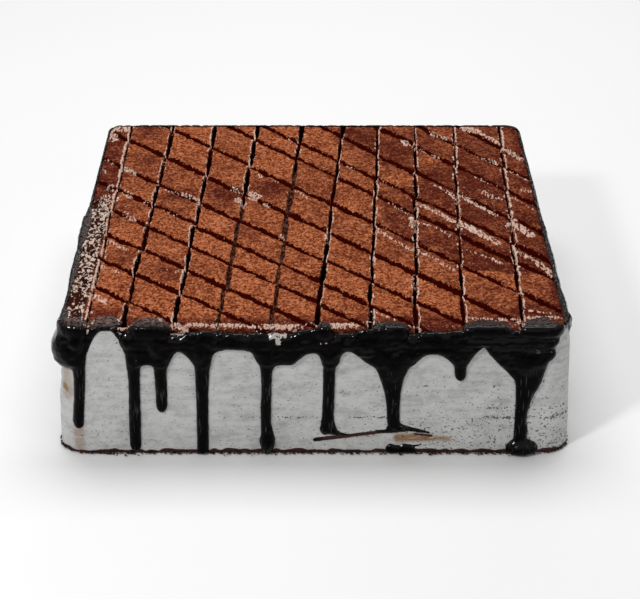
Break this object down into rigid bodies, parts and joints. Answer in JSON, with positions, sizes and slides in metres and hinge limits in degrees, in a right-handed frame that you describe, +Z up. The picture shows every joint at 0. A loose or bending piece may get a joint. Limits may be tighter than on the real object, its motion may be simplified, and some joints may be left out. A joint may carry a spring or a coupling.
{
  "type": "tiramisu cake",
  "caption": "Square uncut tiramisu cake: pale cream sides, cocoa-dusted top scored into slanted tiles, and a dark chocolate ganache rim with drips.",
  "frame": {"origin": "centre of the cake's footprint on the surface it rests on", "axes": "+Z up; the shown front faces -Y; +X is to the right seen from the front"},
  "size_m": [0.2074, 0.2074, 0.0578],
  "materials": {
    "cream": "pale grey-white frosting, smoothed with a scraper: faint level streaks, pits and dark specks",
    "cocoa": "dry cocoa powder, grainy, orange-brown to dark red-brown, scored",
    "ganache": "wet-looking near-black chocolate ganache with lumps and drips"
  },
  "bodies": {
    "root": {"cream_cake": "cream", "cocoa_top": "cocoa", "ganache": "ganache"}
  },
  "joints": []
}
